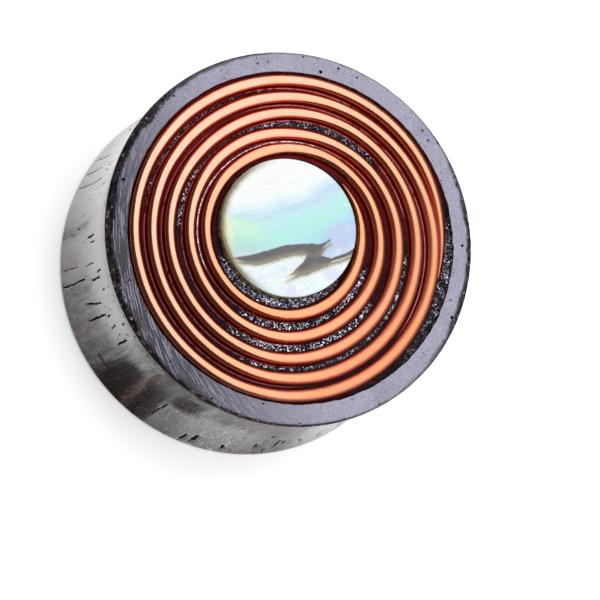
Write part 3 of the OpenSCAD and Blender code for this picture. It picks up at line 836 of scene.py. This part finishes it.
def shell_material():
    m = Nodes("abalone_shell")
    p = m.coord()
    u, v = m.attr("across"), m.attr("up")
    vein, low = m.attr("vein"), m.attr("vein_low")
    nx, ny, nz = m.split(m.normal())
    uv = m.join(u, v, 0.0)
    drift = m.add(m.noise(uv, 0.45, 3.0, 0.5), -0.5)
    drift2 = m.add(m.noise(m.vadd(uv, (7.0, 3.0, 0.0)), 0.9, 2.0, 0.5), -0.5)
    above = m.attr("above")
    # the layers of the nacre, cut at a slant, so that its colours follow one another down the disc: lines is their fine
    # growth lines, hatch the polisher's fine scratches across them
    slope = m.add(m.add(v, m.mul(u, -0.33)), m.mul(m.mul(u, u), -0.035))
    lines = m.noise(m.join(m.mul(slope, 3.0), m.mul(u, 0.25), 0.0), 2.0, 3.0, 0.6)
    hatch = m.noise(m.join(m.mul(m.add(m.mul(u, -0.82), m.mul(v, 0.57)), 5.0), m.mul(m.add(m.mul(u, 0.57), m.mul(v, 0.82)), 0.6), 0.0), 1.7, 2.0, 0.6)
    depth = m.add(0.68, m.mul(m.add(slope, m.mul(drift, 1.5)), -0.217))
    depth = m.add(depth, m.add(m.mul(m.add(lines, -0.5), 0.17), m.mul(m.add(hatch, -0.5), 0.16)))
    upper = m.ramp(depth, [
        (0.12, lin(251, 254, 253)), (0.21, lin(236, 250, 252)), (0.30, lin(212, 242, 252)), (0.41, lin(192, 222, 248)),
        (0.51, lin(194, 240, 246)), (0.64, lin(180, 244, 238)), (0.80, lin(174, 243, 232)), (0.97, lin(168, 234, 240))])
    # greener towards one side, and pale yellow near its edge there: painted glow
    sunny = m.mul(m.step(m.add(u, m.mul(drift2, 2.5)), -0.6, -3.4), m.step(depth, 0.30, 0.48))
    upper = m.mix(m.mul(sunny, 0.85), upper, m.mix(m.step(v, 0.0, -1.6), lin(206, 252, 212), lin(180, 224, 208)))
    upper = m.mix(m.mul(m.step(m.add(u, m.mul(drift, 1.2)), -3.7, -4.7), m.step(depth, 0.22, 0.42, 0.0, 0.9)), upper, lin(252, 246, 186))
    # lilac and blue towards the other, and along the vein
    patch = m.noise(m.vadd(m.join(m.mul(u, 0.8), m.mul(slope, 1.6), 0.0), (1.0, 5.0, 0.0)), 0.9, 3.0, 0.55)
    rose = m.mix(m.step(patch, 0.42, 0.58), lin(166, 208, 246), lin(198, 196, 244))
    near = m.mul(m.step(m.add(slope, m.mul(drift2, 1.0)), -0.6, -1.9), m.step(m.add(u, m.mul(drift, 1.5)), 1.2, 3.0))
    upper = m.mix(m.mul(near, 0.9), upper, rose)
    upper = m.mix(m.mul(m.step(above, 0.75, 0.20), m.step(patch, 0.35, 0.65, 0.35, 0.9)), upper, lin(208, 222, 242))
    upper = m.mix(m.mul(m.step(patch, 0.56, 0.68), m.step(u, 0.4, 2.6, 0.0, 0.45)), upper, lin(214, 232, 250))
    upper = m.mix(m.mul(m.step(m.noise(m.vadd(uv, (3.0, 4.0, 0.0)), 1.3, 2.0), 0.60, 0.72), m.step(u, 1.0, 3.2, 0.0, 0.5)), upper, lin(232, 248, 220))
    lower = m.mix(m.step(m.noise(m.vadd(uv, (2.0, 9.0, 0.0)), 0.7, 2.0), 0.48, 0.66), lin(244, 254, 254), lin(232, 230, 252))
    lower = m.mix(m.step(m.noise(m.vadd(uv, (5.0, 1.0, 0.0)), 0.9, 2.0), 0.50, 0.78, 0.0, 0.5), lower, lin(212, 250, 242))
    below = m.step(above, 0.06, -0.06)
    col = m.mix(below, upper, lower)
    veiled = m.math("MAXIMUM", m.step(depth, 0.28, 0.46), m.mul(below, 0.35))
    col = m.mix(m.mul(m.step(lines, 0.50, 0.72, 0.0, 0.50), m.add(0.55, m.mul(veiled, 0.45))), col, lin(200, 214, 240))
    col = m.mix(m.mul(m.step(hatch, 0.5, 0.72, 0.0, 0.34), m.add(0.10, m.mul(veiled, 0.90))), col, lin(158, 208, 234))
    mott = m.noise(uv, 6.0, 3.0, 0.6)
    col = m.mix(m.mul(m.step(mott, 0.5, 0.72, 0.0, 0.30), m.add(0.15, m.mul(veiled, 0.85))), col, lin(150, 206, 214))
    # the vein: olive at its lower edge, dark grey-brown inside
    grit = m.add(m.noise(uv, 7.0, 2.0, 0.6), -0.5)
    olive = m.step(m.add(low, m.mul(grit, 0.30)), -0.20, 0.14)
    col = m.mix(m.mul(olive, 0.92), col, m.mix(m.step(m.add(low, m.mul(grit, 0.25)), -0.10, 0.16), lin(186, 178, 122), lin(104, 92, 52)))
    inside = m.step(m.add(vein, m.mul(grit, 0.10)), -0.04, 0.06)
    vein_col = m.mix(m.step(m.add(m.add(low, m.mul(vein, -1.0)), m.mul(grit, 0.2)), -0.16, 0.24), lin(44, 38, 46), lin(98, 90, 68))
    vein_col = m.mix(m.step(m.noise(uv, 9.0, 2.0, 0.7), 0.46, 0.64, 0.0, 0.4), vein_col, lin(112, 106, 108))
    tip = m.math("MAXIMUM", m.step(m.add(m.mul(u, 0.6), v), -3.3, -2.1), m.step(u, -0.6, -1.0))
    col = m.mix(inside, col, m.mix(tip, lin(150, 140, 92), vein_col))
    # the rind shows brown and olive round the side
    rim = m.step(nz, 0.75, 0.35)
    rind = m.mix(m.step(m.noise(p, 2.2, 2.0), 0.4, 0.6), lin(120, 98, 52), lin(196, 180, 118))
    # and on one side, painted shade and glow at the thin edge of the nacre: olive-brown at the rim, pale yellow a
    # little further in
    edge = m.add(m.attr("edge"), m.mul(m.add(m.noise(p, 1.8, 3.0), -0.5), 0.22))
    facing = m.step(m.add(m.mul(u, -0.93), m.mul(v, 0.05)), 0.6, 3.4)
    col = m.mix(m.mul(m.step(edge, 0.62, 0.20), m.mul(facing, 0.95)), col, m.mix(m.step(edge, 0.44, 0.12), lin(196, 190, 134), lin(84, 66, 30)))
    col = m.mix(rim, col, rind)
    m.set(Base_Color=m.mix(1.0, col, (0.55, 0.55, 0.55), "MULTIPLY"), Roughness=m.add(0.22, m.mul(inside, 0.2)))
    m.bsdf.inputs["Coat Weight"].default_value = 0.35
    m.bsdf.inputs["Coat Roughness"].default_value = 0.06
    m.set(Normal=m.bump(m.add(m.mul(lines, 0.5), m.mul(grit, m.mul(inside, 0.6))), 0.000008, 0.6))
    return m.mat


def floor_material():
    m = Nodes("floor_pale")
    p = m.coord()
    n = m.noise(p, 0.02, 2.0)
    m.set(Base_Color=m.mix(n, (0.80, 0.80, 0.81), (0.84, 0.84, 0.85)), Roughness=m.add(0.45, m.mul(n, 0.1)))
    m.bsdf.inputs["Emission Color"].default_value = (1, 1, 1, 1)
    x, y, z = m.split(p)
    away = m.math("SQRT", m.add(m.mul(x, x), m.mul(y, y)))
    # the floor glows, faintly near the plug and brightly further out: painted light
    m.set(Emission_Strength=m.step(away, 90.0, 500.0, 0.20, 1.30))
    return m.mat


pieces = {
    "wood_body": (wood_body(), "dark_wood", wood_material()),
    "copper_coil": (copper(), "copper_wire", copper_material()),
    "resin_bed": (resin(), "black_resin", resin_material()),
    "shell_disc": (shell(), "abalone_shell", shell_material()),
}
for node, (obj, slot, mat) in pieces.items():
    obj.data.materials.append(mat)
    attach(obj, "root")
    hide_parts(node)


# ---------------------------------------------------------------- floor, light
def floor():
    mesh = bpy.data.meshes.new("floor")
    s = 3.0
    mesh.from_pydata([(-s, -s, 0), (s, -s, 0), (s, s, 0), (-s, s, 0)], [], [(0, 1, 2, 3)])
    obj = bpy.data.objects.new("floor", mesh)
    obj.location.z = -0.00002
    bpy.context.scene.collection.objects.link(obj)
    obj.data.materials.append(floor_material())


def softbox(name, direction, long_dir, distance, half_long, half_short, radiance, color=(1, 1, 1)):
    """A rectangular area light that faces the plug. direction points from the plug to the light's middle, and the light
    spans half_long and half_short degrees either side of it."""
    d = Vector(direction).normalized()
    u = Vector(long_dir)
    u = (u - d * u.dot(d)).normalized()
    v = d.cross(u)
    light = bpy.data.lights.new(name, "AREA")
    light.shape = "RECTANGLE"
    sx, sy = 2 * distance * math.tan(math.radians(half_long)), 2 * distance * math.tan(math.radians(half_short))
    light.size, light.size_y = sx, sy
    light.energy = radiance * math.pi * sx * sy
    light.color = color
    obj = bpy.data.objects.new(name, light)
    obj.visible_camera = False
    m = Matrix.Identity(4)
    c = Vector((0, 0, 0.012)) + d * distance
    for i in range(3):
        m[i][0], m[i][1], m[i][2], m[i][3] = u[i], v[i], d[i], c[i]
    obj.matrix_world = m
    bpy.context.scene.collection.objects.link(obj)
    return obj


def studio_world():
    """Dim all round for the light, pale where the camera looks past the floor."""
    world = bpy.data.worlds.new("world")
    bpy.context.scene.world = world
    world.use_nodes = True
    nt = world.node_tree
    bg = nt.nodes["Background"]
    bg.inputs[0].default_value = (1, 1, 1, 1)
    path = nt.nodes.new("ShaderNodeLightPath")
    strength = nt.nodes.new("ShaderNodeMapRange")
    nt.links.new(path.outputs["Is Camera Ray"], strength.inputs[0])
    strength.inputs[3].default_value, strength.inputs[4].default_value = 0.14, 1.0
    nt.links.new(strength.outputs[0], bg.inputs[1])


floor()
studio_world()
softbox("key", (0, 0.34, 0.94), (-0.966, 0.259, 0), 0.40, 74, 38, 2.6)
bpy.context.scene.view_settings.view_transform = "Standard"
